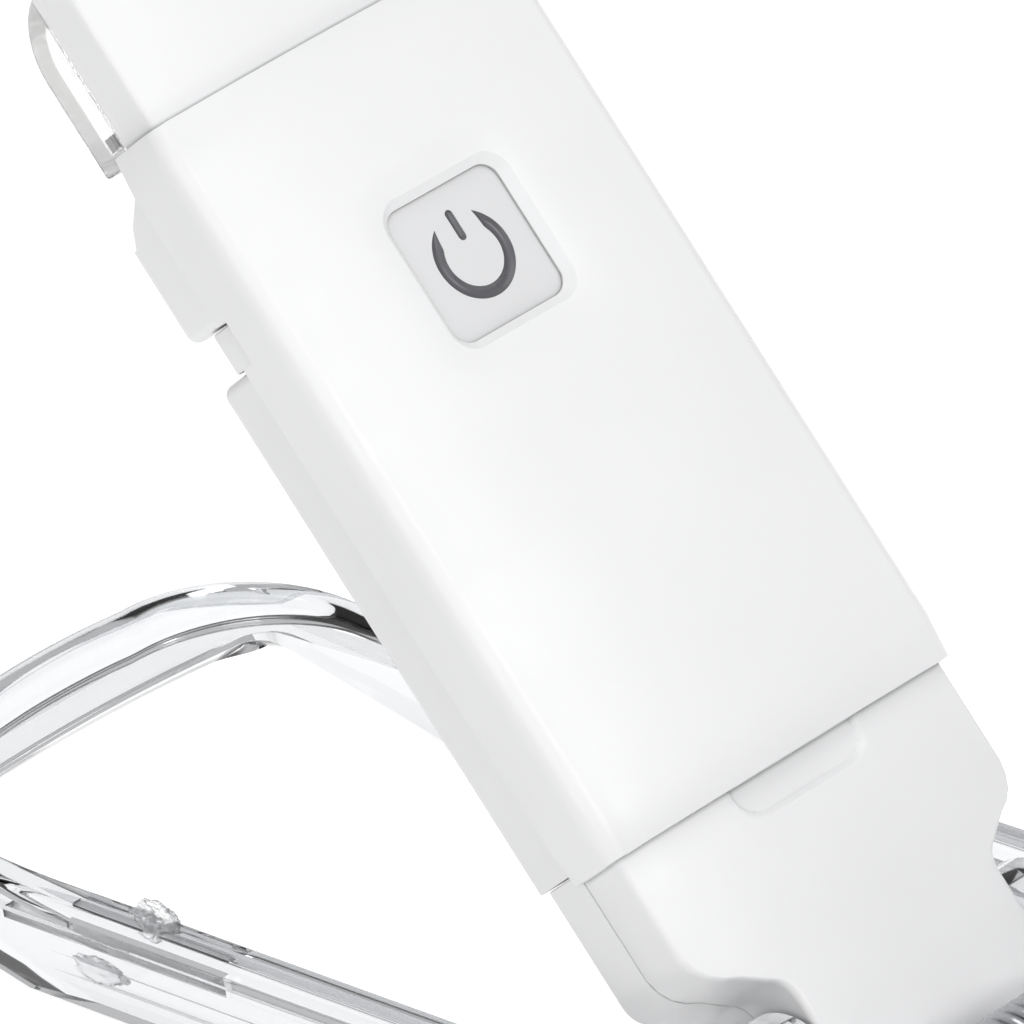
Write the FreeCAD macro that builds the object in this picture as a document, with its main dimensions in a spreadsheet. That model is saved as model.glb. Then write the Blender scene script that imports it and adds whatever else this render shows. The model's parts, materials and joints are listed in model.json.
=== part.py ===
"""Clip-on reading lamp: a slim rechargeable lamp that tilts on a clear two-jaw clip.

Millimetres, +Z up. The origin is on the underside of the lower jaw's root plate, on the centreline,
straight below the clip's pivot pin. +X runs across the clip, +Y points out of its mouth.

The lamp's own parts are drawn upright round the tilt axis (X across, -Y the front face, +Z towards
the head) and leaned over to their rest angle by their Placement.
"""

import FreeCAD, Part
import math
import os

Vector = FreeCAD.Vector
doc = FreeCAD.newDocument("reading_lamp")

DIMENSIONS = {
    # pose of the lamp on its clip
    "lean_angle": 53.7,
    "tilt_axis_y": 10.0,
    "tilt_axis_z": 5.5,
    # lamp body, measured from the tilt axis
    "body_width": 27.6,
    "body_front": 4.6,
    "body_back": 5.0,
    "cover_back": 5.9,
    "parting": 0.8,
    "wall": 1.2,
    "seam": 0.1,
    "crown": 1.4,
    "front_radius": 0.5,
    "edge_radius": 0.9,
    "lower_seam": 17.5,
    "upper_seam": 66.5,
    "head_end": 78.0,
    "groove_low": 52.7,
    "groove_high": 55.6,
    "groove_floor": 3.6,
    "groove_side": 0.35,
    # power button
    "button_size": 10.6,
    "button_radius": 2.0,
    "button_height": 51.5,
    "button_face": 4.35,
    "button_plate": 1.15,
    "button_gap": 0.15,
    "dish_size": 12.9,
    "dish_depth": 0.5,
    "symbol_radius": 2.4,
    "symbol_stroke": 0.75,
    # screws that hold the circuit board
    "screw_x": 9.2,
    "screw_z": 60.5,
    "screw_radius": 0.5,
    # head
    "head_axis": 65.2,
    "hinge_depth": 0.25,
    "head_parting": 0.25,
    "lens_back": 3.7,
    "lens_wall": 1.0,
    "pin_radius": 0.5,
    "running_gap": 0.05,
    # plug and cap
    "plug_width": 12.0,
    "plug_depth": 4.5,
    "plug_length": 11.75,
    "plug_centre": 0.9,
    "neck_width": 17.4,
    "barrel_radius": 4.8,
    "tilt_pin_radius": 1.5,
    "bush_radius": 2.2,
    # clip
    "clip_width": 36.6,
    "rail_width": 2.0,
    "rail_top": 5.2,
    "jaw_gap": 0.12,
    "upper_top": 7.35,
    "nose_top": 9.8,
    "nose_under": 6.6,
    "nose_bar": 2.0,
    "climb_start": 62.0,
    "lower_nose_near": 84.2,
    "lower_nose_far": 87.8,
    "lower_nose_under": 3.3,
    "lower_nose_top": 4.9,
    "lower_chamfer": 1.2,
    "lower_lift": 68.6,
    "root_top": 3.6,
    "handle_top": 2.6,
    "upper_nose_far": 86.5,
    "upper_nose_radius": 10.6,
    "nose_bow": 0.6,
    "lower_bow": 1.1,
    "pivot_z": 6.6,
    "pivot_radius": 1.0,
    "handle_length": 22.0,
    "handle_rise": 20.0,
    "handle_plate": 1.9,
    "ear_gap": 0.35,
    "ear_thickness": 3.0,
    "spring_wire": 0.9,
    "spring_radius": 2.3,
    "spring_leg": 16.0,
    "spring_room": 4.4,
    "window_end": 13.9,
}

sheet = doc.addObject("Spreadsheet::Sheet", "dims")
for row, (alias, number) in enumerate(DIMENSIONS.items(), start=1):
    sheet.set(f"A{row}", alias)
    sheet.set(f"B{row}", str(number))
    sheet.setAlias(f"B{row}", alias)
doc.recompute()

PARTS = {}


def value(alias):
    """A driving dimension, read back from the sheet."""
    return float(getattr(sheet, alias))


half_width = value("body_width") / 2
front = -value("body_front")
back = value("body_back")
parting = value("parting")
seam = value("seam")
lower_seam = value("lower_seam")
upper_seam = value("upper_seam")
head_end = value("head_end")
half_clip = value("clip_width") / 2
rail_inner = half_clip - value("rail_width")
rail_top = value("rail_top")
upper_under = rail_top + value("jaw_gap")
upper_top = value("upper_top")


# ---- construction helpers ----


def bind(item, **expressions):
    for name, expression in expressions.items():
        item.setExpression(name.replace("__", "."), str(expression))


def difference(high, low):
    return f"({high}) - ({low})"


def block(name, low, high):
    """A box between two corners, each given as three expressions."""
    item = doc.addObject("Part::Box", name)
    bind(
        item,
        Length=difference(high[0], low[0]),
        Width=difference(high[1], low[1]),
        Height=difference(high[2], low[2]),
        Placement__Base__x=low[0],
        Placement__Base__y=low[1],
        Placement__Base__z=low[2],
    )
    return item


TURNS = {
    "x": FreeCAD.Rotation(Vector(0, 1, 0), 90),
    "y": FreeCAD.Rotation(Vector(1, 0, 0), -90),
    "z": FreeCAD.Rotation(),
}


def rod(name, radius, length, start, along="x"):
    """A cylinder from a start point along one axis; sizes and start are expressions."""
    item = doc.addObject("Part::Cylinder", name)
    item.Placement = FreeCAD.Placement(Vector(), TURNS[along])
    bind(
        item,
        Radius=radius,
        Height=length,
        Placement__Base__x=start[0],
        Placement__Base__y=start[1],
        Placement__Base__z=start[2],
    )
    return item


def fuse(name, *items):
    if len(items) == 1:
        return items[0]
    item = doc.addObject("Part::MultiFuse", name)
    item.Shapes = list(items)
    return item


def group(name, *items):
    item = doc.addObject("Part::Compound", name)
    item.Links = list(items)
    return item


def cut(name, base, *tools):
    item = doc.addObject("Part::Cut", name)
    item.Base = base
    item.Tool = fuse(name + "_tools", *tools)
    return item


def common(name, *items):
    item = doc.addObject("Part::MultiCommon", name)
    item.Shapes = list(items)
    return item


def mirrored(name, item):
    """The same solid on the other side of the centreline."""
    other = doc.addObject("Part::Mirroring", name)
    other.Source = item
    other.Normal = Vector(1, 0, 0)
    return other


def both_sides(name, item):
    return group(name, item, mirrored(name + "_left", item))


def outline(sketch, start, steps):
    """Draws a closed outline: a step is a point for a line, or (middle, end) for an arc."""
    here = start
    for step in steps + [start]:
        curved = isinstance(step[0], tuple)
        end = step[1] if curved else step
        if math.dist(here, end) < 1e-6:
            continue
        if curved:
            edge = Part.Arc(Vector(*here, 0), Vector(*step[0], 0), Vector(*end, 0))
        else:
            edge = Part.LineSegment(Vector(*here, 0), Vector(*end, 0))
        sketch.addGeometry(edge, False)
        here = end


def pad(name, plane, start, steps, length, offset="0", middle=False):
    """A body padded from one outline on an origin plane: XY grows +Z, XZ grows +Y, YZ grows +X."""
    body = doc.addObject("PartDesign::Body", name)
    sketch = body.newObject("Sketcher::SketchObject", name + "_sketch")
    origin_plane = next(f for f in body.Origin.OriginFeatures if f.Role == plane + "_Plane")
    sketch.AttachmentSupport = [(origin_plane, "")]
    sketch.MapMode = "FlatFace"
    sign = "-" if plane == "XZ" else ""
    bind(sketch, AttachmentOffset__Base__z=f"{sign}({offset})")
    outline(sketch, start, steps)
    feature = body.newObject("PartDesign::Pad", name + "_pad")
    feature.Profile = sketch
    feature.Midplane = middle
    feature.Reversed = plane == "XZ"
    bind(feature, Length=length)
    body.Tip = feature
    return body


def corner(centre, radius, first, last):
    """The arc step of a rounded corner, between two directions in degrees."""
    middle = math.radians((first + last) / 2)
    end = math.radians(last)
    return (
        (centre[0] + radius * math.cos(middle), centre[1] + radius * math.sin(middle)),
        (centre[0] + radius * math.cos(end), centre[1] + radius * math.sin(end)),
    )


def rounded(low, high, radius):
    """Start and steps of a rounded rectangle."""
    (x0, y0), (x1, y1) = low, high
    start = (x0 + radius, y0)
    steps = [
        (x1 - radius, y0),
        corner((x1 - radius, y0 + radius), radius, -90, 0),
        (x1, y1 - radius),
        corner((x1 - radius, y1 - radius), radius, 0, 90),
        (x0 + radius, y1),
        corner((x0 + radius, y1 - radius), radius, 90, 180),
        (x0, y0 + radius),
        corner((x0 + radius, y0 + radius), radius, 180, 270),
    ]
    return start, steps


def fillet(name, base, radius, wanted):
    """Rounds the edges for which wanted(edge) holds."""
    doc.recompute()
    edges = [i for i, edge in enumerate(base.Shape.Edges, start=1) if wanted(edge)]
    item = doc.addObject("Part::Fillet", name)
    item.Base = base
    item.Edges = [(i, radius, radius) for i in edges]
    return item


def chamfer(name, base, size, wanted):
    """Breaks the edges for which wanted(edge) holds."""
    doc.recompute()
    edges = [i for i, edge in enumerate(base.Shape.Edges, start=1) if wanted(edge)]
    item = doc.addObject("Part::Chamfer", name)
    item.Base = base
    item.Edges = [(i, size, size) for i in edges]
    return item


def part(name, item, leaning=False):
    """Names a finished sub-part and stands it in the lamp's frame."""
    if item.TypeId in ("Part::Box", "Part::Cylinder"):
        item = group(name + "_node", item)
    item.Label = name
    if leaning:
        centre = Vector(0, value("tilt_axis_y"), value("tilt_axis_z"))
        turn = FreeCAD.Rotation(Vector(1, 0, 0), value("lean_angle") - 90)
        item.Placement = FreeCAD.Placement(centre, turn)
    PARTS[name] = item
    return item


# ---- shell sections shared by the body, cap and head ----


def front_bar(name, low, high, plane=parting):
    """The crowned front half of the casing's section up to a parting plane, between two heights."""
    radius = value("front_radius")
    shoulder = front + value("crown")
    steps = [
        (half_width, shoulder + radius),
        corner((half_width - radius, shoulder + radius), radius, 0, -90),
        ((0, front), (-half_width + radius, shoulder)),
        corner((-half_width + radius, shoulder + radius), radius, 270, 180),
    ]
    return pad(name, "XY", (-half_width, plane), [(half_width, plane)] + steps,
               difference(high, low), low)


def rear_bar(name, low, high, depth):
    """The rear half of the casing's section back to a depth, between two heights."""
    radius = value("edge_radius")
    edge = parting + 0.08
    steps = [
        (half_width, edge),
        (half_width, depth - radius),
        corner((half_width - radius, depth - radius), radius, 0, 90),
        (-half_width + radius, depth),
        corner((-half_width + radius, depth - radius), radius, 90, 180),
    ]
    return pad(name, "XY", (-half_width, edge), steps, difference(high, low), low)


def side_profile(name, start, steps, width="dims.body_width + 2"):
    """A solid with the given (Y, Z) side profile, centred across the width."""
    return pad(name, "YZ", start, steps, width, middle=True)


# ---- lamp body ----

INNER_X = "dims.body_width / 2 - dims.wall"
INNER_FRONT = "dims.wall + dims.crown - dims.body_front"
INNER_BACK = "dims.body_back - dims.wall"
COVER_INSIDE = "dims.cover_back - dims.wall"
BODY_LOW = "dims.lower_seam + dims.seam / 2"
BODY_HIGH = "dims.upper_seam - dims.seam / 2"
KNUCKLE_IN = "9"
KNUCKLE_OUT = "12"
AXIS_Y = "dims.hinge_depth"
AXIS_Z = "dims.head_axis"
BUTTON_BACK = "dims.button_plate - dims.button_face"


def knuckle_slots(name):
    """Slots in the body's top edge, in which the head's two knuckles turn."""
    slot = block(name, (f"{KNUCKLE_IN} - 0.2", "-1.4", "dims.head_axis - 1.6"),
                 (f"{KNUCKLE_OUT} + 0.2", "3.3", "dims.upper_seam + 1"))
    return both_sides(name + "_pair", slot)


def button_outline(grow):
    """The button's rounded square on the XZ plane, grown by a margin."""
    half = value("button_size") / 2 + grow
    height = value("button_height")
    return rounded((-half, height - half), (half, height + half), value("button_radius") + grow)


def make_front_shell():
    bar = front_bar("front_bar", BODY_LOW, BODY_HIGH)
    cavity = block("front_cavity", (f"-({INNER_X})", INNER_FRONT, f"{BODY_LOW} + dims.wall"),
                   (INNER_X, "dims.parting + 1", f"{BODY_HIGH} - dims.wall"))
    hole = pad("button_hole", "XZ", *button_outline(value("button_gap")), "4", "-dims.body_front - 1")
    margin = (value("dish_size") - value("button_size")) / 2
    dish = pad("button_dish", "XZ", *button_outline(margin), "1",
               "dims.dish_depth - dims.body_front - 1")
    pocket = pad("flange_pocket", "XZ", *button_outline(0.95), "1.3", f"{BUTTON_BACK} - 0.02")
    swing = block("head_swing", ("-15", AXIS_Y, "dims.upper_seam - 0.17"), ("15", "2", "dims.upper_seam + 1"))
    shell = cut("front_hollow", bar, cavity, hole, dish, pocket, swing, knuckle_slots("front_slots"))
    relief = block("groove_relief", ("-20", "-0.3", "dims.groove_low"), ("20", "2", "dims.groove_high"))
    side = "dims.body_width / 2 - dims.groove_side"
    keep = block("groove_keep", (f"-({side})", "-2", "dims.groove_low - 1"),
                 (side, "3", "dims.groove_high + 1"))
    shell = cut("front_grooved", shell, cut("groove_sides", relief, keep))
    band = block("bridge_band", (f"-({side})", "-0.3", "dims.groove_low + 0.08"),
                 (side, "dims.groove_floor", "dims.groove_high - 0.08"))
    band_inside = block("bridge_inside", (f"-({INNER_X})", "-1", "dims.groove_low - 1"),
                        (INNER_X, "dims.groove_floor - 0.8", "dims.groove_high + 1"))
    boss = block("hinge_boss", ("6.4", "-2.2", "dims.head_axis - 1.4"),
                 ("8.7", "dims.parting", "dims.head_axis + 1"))
    whole = fuse("front_whole", shell, cut("bridge", band, band_inside), both_sides("bosses", boss))
    post = rod("screw_post", "1.2", "1.6", ("dims.screw_x", "-2.22", "dims.screw_z"), "y")
    post_bore = rod("post_bore", "dims.screw_radius", "1.2", ("dims.screw_x", "-1.8", "dims.screw_z"), "y")
    whole = fuse("front_with_posts", whole, both_sides("screw_posts", post))
    bore = rod("boss_bores", "dims.pin_radius", "25", ("-12.5", AXIS_Y, AXIS_Z))
    port = block("plug_port", ("-dims.plug_width / 2", "dims.plug_centre - dims.plug_depth / 2", "15"),
                 ("dims.plug_width / 2", "5", "20"))
    part("front_shell",
         cut("front_shell", whole, bore, port, both_sides("post_bores", post_bore)), leaning=True)


def make_rear_covers():
    depth = value("cover_back")
    upper = rear_bar("upper_rear_bar", "dims.groove_high + 0.08", BODY_HIGH, depth)
    profile = side_profile("upper_rear_profile", (0, 50), [
        (6, 50), (6, upper_seam - 4.3), (5.0, upper_seam - 4.2), (4.05, upper_seam - 3.0),
        (0.3, upper_seam - 0.35), (0, upper_seam - 0.35)])
    cavity = block("upper_rear_cavity", (f"-({INNER_X})", "-1", "dims.groove_high + dims.wall"),
                   (INNER_X, "dims.body_back - dims.wall - 1.4", "dims.upper_seam - 3.6"))
    shaped = common("upper_rear_shaped", upper, profile)
    part("upper_rear_cover",
         cut("upper_rear_cover", shaped, cavity, knuckle_slots("rear_slots")), leaning=True)

    lower = rear_bar("lower_rear_bar", BODY_LOW, "dims.groove_low - 0.08", depth)
    cavity = block("lower_rear_cavity", (f"-({INNER_X})", "-1", f"{BODY_LOW} + dims.wall"),
                   (INNER_X, COVER_INSIDE, "dims.groove_low - dims.wall"))
    port = block("rear_port", ("-dims.plug_width / 2", "-2", "15"),
                 ("dims.plug_width / 2", "dims.plug_centre + dims.plug_depth / 2", "20"))
    part("lower_rear_cover", cut("lower_rear_cover", lower, cavity, port), leaning=True)


def make_button():
    cap = pad("button_plate", "XZ", *button_outline(0), "dims.button_plate", "-dims.button_face")
    cap = fillet("button_soft", cap, 0.25, lambda edge: edge.BoundBox.YMax < 0.1 - value("button_face"))
    flange = pad("button_flange", "XZ", *button_outline(0.7), "0.5", BUTTON_BACK)
    boss = rod("button_boss", "1.5", "1.35", ("0", BUTTON_BACK, "dims.button_height"), "y")
    height = value("button_height")
    outer = value("symbol_radius") + value("symbol_stroke") / 2
    inner = value("symbol_radius") - value("symbol_stroke") / 2

    def on_ring(radius, degrees):
        angle = math.radians(degrees)
        return (radius * math.sin(angle), height + radius * math.cos(angle))

    def symbol(name, length):
        """The open ring, cut to points beside its opening, and the tick that stands in it."""
        ring = pad(name + "_ring", "XZ", on_ring(outer, 28), [
            (on_ring(outer, 180), on_ring(outer, -28)), on_ring(inner, -46),
            (on_ring(inner, 180), on_ring(inner, 46))], length, "0.35 - dims.button_face - " + length)
        tick = pad(name + "_tick", "XZ", *rounded((-0.28, height + 0.95), (0.28, height + 3.0), 0.25),
                   length, "0.35 - dims.button_face - " + length)
        return group(name, ring, tick)

    room = block("flange_room", ("-2.6", BUTTON_BACK, "dims.button_height - 2.6"),
                 ("2.6", "0", "dims.button_height + 2.6"))
    solid = fuse("button_solid", cap, cut("button_rim", flange, room), boss)
    engraved = cut("button_cap", solid, symbol("engraving", "1"))
    part("button_cap", engraved, leaning=True)
    part("button_symbol", symbol("symbol", "0.15"), leaning=True)


def make_electronics():
    board = block("board_blank", ("-11", "-0.6", "21"), ("11", "0.2", "63"))
    holes = both_sides("board_holes", rod("board_hole", "dims.screw_radius + 0.05", "4",
                                          ("dims.screw_x", "-2", "dims.screw_z"), "y"))
    part("circuit_board", cut("circuit_board", board, holes), leaning=True)
    chips = [
        block("charge_chip", ("-6", "-1.6", "26"), ("-2", "-0.62", "30")),
        block("driver_chip", ("2", "-1.5", "33"), ("5", "-0.62", "36")),
        block("inductor", ("-7.5", "-1.9", "34"), ("-3.5", "-0.62", "38")),
        block("capacitor", ("3", "-1.4", "27"), ("4.6", "-0.62", "29.5")),
        block("indicator_led", ("7", "-1.2", "24"), ("8.6", "-0.62", "24.8")),
    ]
    part("board_components", group("board_components", *chips), leaning=True)
    case = block("switch_case", ("-1.6", "-1.3", "dims.button_height - 1.6"),
                 ("1.6", "-0.62", "dims.button_height + 1.6"))
    dome = rod("switch_dome", "0.8", "0.12", ("0", "-1.4", "dims.button_height"), "y")
    part("tact_switch", fuse("tact_switch", case, dome), leaning=True)
    part("battery_cell", block("battery_cell", ("-10", "0.5", "20"), ("10", "3.3", "51")), leaning=True)
    part("battery_pad", block("battery_pad", ("-8", "3.32", "22"), ("8", f"{COVER_INSIDE} - 0.02", "49")), leaning=True)


def make_plug():
    low = "dims.lower_seam - dims.plug_length"
    depth = ("dims.plug_centre - dims.plug_depth / 2", "dims.plug_centre + dims.plug_depth / 2")
    outside = block("plug_outside", ("-dims.plug_width / 2", depth[0], low),
                    ("dims.plug_width / 2", depth[1], "19.9"))
    inside = block("plug_inside", ("0.3 - dims.plug_width / 2", f"{depth[0]} + 0.3", "0"),
                   ("dims.plug_width / 2 - 0.3", f"{depth[1]} - 0.3", "22"))
    windows = [
        block(f"plug_window_{side}", (f"{side} * 2.9 - 1.1", "-3", f"{low} + 5"),
              (f"{side} * 2.9 + 1.1", "6", f"{low} + 7.3"))
        for side in ("-1", "1")
    ]
    part("usb_plug_shell", cut("usb_plug_shell", outside, inside, *windows), leaning=True)
    tongue = block("usb_plug_tongue", ("0.35 - dims.plug_width / 2", f"{depth[1]} - 2.2", f"{low} + 0.6"),
                   ("dims.plug_width / 2 - 0.35", f"{depth[1]} - 0.35", "19.8"))
    part("usb_plug_tongue", tongue, leaning=True)
    contacts = [
        block(f"contact_{i}", (f"{x} - 0.5", f"{depth[1]} - 2.35", f"{low} + 1.6"),
              (f"{x} + 0.5", f"{depth[1]} - 2.21", f"{low} + 9.5"))
        for i, x in enumerate((-3.5, -1.0, 1.0, 3.5))
    ]
    part("usb_contacts", group("usb_contacts", *contacts), leaning=True)


def make_screws():
    """Self-tapping screws that hold the circuit board to the posts of the front shell."""
    screws = []
    for side in ("-1", "1"):
        x = side + " * dims.screw_x"
        head = rod("board_screw_head", "0.95", "0.5", (x, "0.22", "dims.screw_z"), "y")
        shank = rod("board_screw_shank", "dims.screw_radius", "2", (x, "-1.75", "dims.screw_z"), "y")
        screws.append(fuse("board_screw", head, shank))
    part("board_screws", group("board_screws", *screws), leaning=True)


# ---- head ----


def head_profile(name, inset="0"):
    """The head's side profile: flat front, tight front corner, wide rounded back."""
    grow = value("lens_wall") if inset != "0" else 0.0
    low, top = upper_seam + seam / 2 + grow, head_end - grow
    lens_back = value("lens_back") - grow
    radius = 4.8 - grow
    corner_radius = 2.0 - grow
    centre = (lens_back - radius, top - radius)
    face = front if grow == 0 else front + grow + value("crown")
    front_face = front - 0.5 if grow == 0 else face
    front_centre = (face + corner_radius, top - corner_radius)
    return side_profile(name, (front_face, low), [
        (lens_back, low),
        (lens_back, centre[1]),
        corner(centre, radius, 0, 90),
        (front_centre[0], top),
        corner(front_centre, corner_radius, 90, 180),
        (face, front_centre[1] - 1),
        (front_face, front_centre[1] - 1),
    ], "dims.body_width" if grow == 0 else "dims.body_width - 2 * dims.lens_wall")


def make_head():
    bar = front_bar("head_bar", "dims.upper_seam + dims.seam / 2", "dims.head_end", value("head_parting"))
    shape = common("head_front", bar, head_profile("head_profile"))
    hollow = common("head_hollow_front", head_profile("head_inside", "lens_wall"),
                    block("head_window", ("-20", "-5", "60"), ("20", "5", "90")))
    lug = block("head_lug", (KNUCKLE_IN, "-0.75", "dims.head_axis"),
                (KNUCKLE_OUT, AXIS_Y, "dims.upper_seam + 2"))
    knuckle = rod("head_knuckle", "1.15", "3", (KNUCKLE_IN, AXIS_Y, AXIS_Z))
    solid = fuse("head_solid", cut("head_hollow", shape, hollow),
                 both_sides("head_hinge_lugs", fuse("head_hinge_lug", lug, knuckle)))
    bore = rod("head_bore", "dims.pin_radius + dims.running_gap", "30", ("-15", AXIS_Y, AXIS_Z))
    part("head_shell", cut("head_shell", solid, bore), leaning=True)

    body = block("lens_block", ("-dims.body_width / 2", "dims.head_parting + 0.08", "60"),
                 ("dims.body_width / 2", "10", "90"))
    outside = common("lens_outside", head_profile("lens_profile"), body)
    inside = head_profile("lens_inside", "lens_wall")
    notch = both_sides("lens_notches", block("lens_notch", (f"{KNUCKLE_IN} - 0.2", "0", "60"),
                                             (f"{KNUCKLE_OUT} + 0.2", "1.6", "dims.upper_seam + 1.3")))
    part("head_lens", cut("head_lens", outside, inside, notch), leaning=True)

    part("led_board", block("led_board", ("-12.4", "0.35", "69.2"), ("12.4", "1.15", "76")), leaning=True)
    count = 6
    leds = []
    for i in range(count):
        x = (i - (count - 1) / 2) * 4.0
        case = block(f"led_case_{i}", (f"{x} - 1.4", "1.17", "70.6"), (f"{x} + 1.4", "1.97", "74.1"))
        dome = rod(f"led_dome_{i}", "1.15", "0.15", (str(x), "1.9", "72.35"), "y")
        leds.append(fuse(f"led_{i}", case, dome))
    part("leds", group("leds", *leds), leaning=True)
    strip = block("light_block_strip", ("-12.6", "1.7", "dims.upper_seam + dims.seam / 2 + 1.02"),
                  ("12.6", "2.65", "dims.upper_seam + 2.1"))
    part("light_block_strip", strip, leaning=True)

    pin = rod("head_pin", "dims.pin_radius", "6", ("6.4", AXIS_Y, AXIS_Z))
    part("head_hinge_pins", both_sides("head_hinge_pins", pin), leaning=True)


# ---- cap and tilt hinge ----


CAP_END = "-5"


def cap_outline(name):
    """Front outline of the cap: full width, sloping shoulders, concave run into the straight neck."""
    neck = value("neck_width") / 2
    end = float(CAP_END)
    right = [
        (half_width, 10.0),
        ((half_width - 0.75, 8.3), (half_width - 2.4, 7.3)),
        (9.9, 6.3),
        ((neck + 0.3, 5.6), (neck, 4.6)),
        (neck, end),
    ]
    mirror = [(-neck, end), (-neck, 4.6), ((-neck - 0.3, 5.6), (-9.9, 6.3)),
              (-half_width + 2.4, 7.3), ((-half_width + 0.75, 8.3), (-half_width, 10.0)),
              (-half_width, lower_seam)]
    return pad(name, "XZ", (half_width, lower_seam), right + mirror, "20", "-10")


def cap_end(name):
    """Side profile of the cap: straight faces that run into one round end about the tilt axis."""
    middle = (front + back) / 2
    return side_profile(name, (front - 1, lower_seam), [
        (front - 1, 0), (front, 0), ((middle, middle - back), (back, 0)), (back + 1, 0),
        (back + 1, lower_seam)])


def make_cap():
    top = "dims.lower_seam - dims.seam / 2"
    floor = "dims.lower_seam - dims.plug_length - 0.25"
    cavity = block("cap_cavity", (f"-({INNER_X}) + 0.6", INNER_FRONT, f"{floor} + 4.2"),
                   (f"{INNER_X} - 0.6", INNER_BACK, "30"))
    socket = block("cap_socket", ("-7", INNER_FRONT, floor), ("7", INNER_BACK, "30"))
    bore = rod("barrel_bore", "dims.bush_radius", "dims.neck_width + 2",
               ("-dims.neck_width / 2 - 1", "0", "0"))
    notch_low = lower_seam - 3.1
    recess = pad("thumb_recess", "XZ", (5.4, lower_seam + 1), [
        (5.4, notch_low + 2.0),
        corner((3.4, notch_low + 2.0), 2.0, 0, -90),
        (-3.4, notch_low),
        corner((-3.4, notch_low + 2.0), 2.0, 270, 180),
        (-5.4, lower_seam + 1)], "1", "-dims.body_front - 0.5")
    half = common("cap_front_shape", front_bar("cap_front_bar", CAP_END, top),
                  cap_outline("cap_front_outline"), cap_end("cap_front_end"))
    part("cap_front_shell", cut("cap_front_shell", half, cavity, socket, recess, bore), leaning=True)

    half = common("cap_rear_shape", rear_bar("cap_rear_bar", CAP_END, top, back),
                  cap_outline("cap_rear_outline"), cap_end("cap_rear_end"))
    part("cap_rear_shell", cut("cap_rear_shell", half, cavity, socket, bore), leaning=True)

    clearance = 0.1
    x = f"dims.plug_width / 2 + {clearance}"
    y = f"dims.plug_depth / 2 + {clearance}"
    outside = block("sleeve_outside", (f"-({x}) - 0.6", f"{INNER_FRONT} + 0.02", f"{floor} + 0.05"),
                    (f"{x} + 0.6", f"{INNER_BACK} - 0.02", f"{top} - 0.3"))
    inside = block("sleeve_inside", (f"-({x})", f"dims.plug_centre - ({y})", "0"),
                   (x, f"dims.plug_centre + {y}", "30"))
    part("plug_sleeve", cut("plug_sleeve", outside, inside), leaning=True)

    bush = cut("bush", rod("bush_outside", "dims.bush_radius", "dims.neck_width / 2 - 1", ("1", "0", "0")),
               rod("bush_inside", "dims.tilt_pin_radius + dims.running_gap", "20", ("0", "0", "0")))
    part("tilt_bushes", both_sides("tilt_bushes", bush), leaning=True)


# ---- clip ----

TILT = ("dims.tilt_axis_y", "dims.tilt_axis_z")
PIVOT = ("0", "dims.pivot_z")


def corner_cutter(name, x, y, radius):
    """What lies outside a rounded nose corner, through the jaw's height, on the right side."""
    centre = (x - radius, y - radius)
    return pad(name, "XY", (x, centre[1]), [
        corner(centre, radius, 0, 90), (centre[0], y + 2), (x + 2, y + 2), (x + 2, centre[1])],
        "60", "-20")


def nose_loop(name, half, far, radius, start, bow):
    """Plan of a jaw's rounded end: two straight sides, two corners and a far side bowed outward."""
    shoulder = far - bow
    return pad(name, "XY", (-half, start), [
        (half, start), (half, shoulder - radius),
        corner((half - radius, shoulder - radius), radius, 0, 90),
        ((0, far), (-half + radius, shoulder)),
        corner((-half + radius, shoulder - radius), radius, 90, 180)], "60", "-20")


def handle_ends(name):
    """What lies outside the two rounded corners at the handle's end."""
    end, radius = -value("handle_length"), 6.0
    right = pad(name + "_right", "XY", (half_clip, end + radius), [
        corner((half_clip - radius, end + radius), radius, 0, -90), (half_clip - radius, end - 2),
        (half_clip + 2, end - 2), (half_clip + 2, end + radius)], "60", "-20")
    return both_sides(name, right)


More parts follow.
